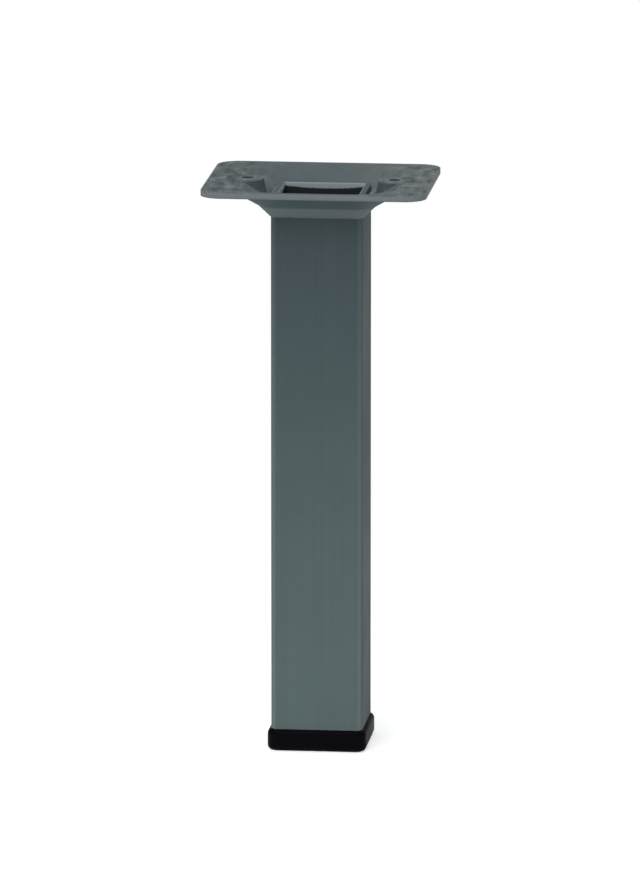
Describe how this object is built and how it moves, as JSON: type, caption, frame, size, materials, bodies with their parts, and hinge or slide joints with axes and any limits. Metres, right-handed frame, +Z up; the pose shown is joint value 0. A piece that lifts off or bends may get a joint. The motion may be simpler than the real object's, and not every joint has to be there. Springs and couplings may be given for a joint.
{
  "type": "table leg",
  "caption": "Square steel table leg with a dished mounting plate for screws at the top and a plastic foot plugged into the tube.",
  "frame": {"origin": "centre of the foot's underside, on the floor", "axes": "+Z up the leg to the mounting face, +X along the long side of the mounting plate"},
  "size_m": [0.061, 0.051, 0.156],
  "materials": {
    "grey_paint": "satin",
    "painted_weld": "satin",
    "black_plastic": "matte"
  },
  "bodies": {
    "root": {"mounting_plate": "grey_paint", "leg_tube": "grey_paint", "weld_bead": "painted_weld", "foot_cap": "black_plastic"}
  },
  "joints": []
}
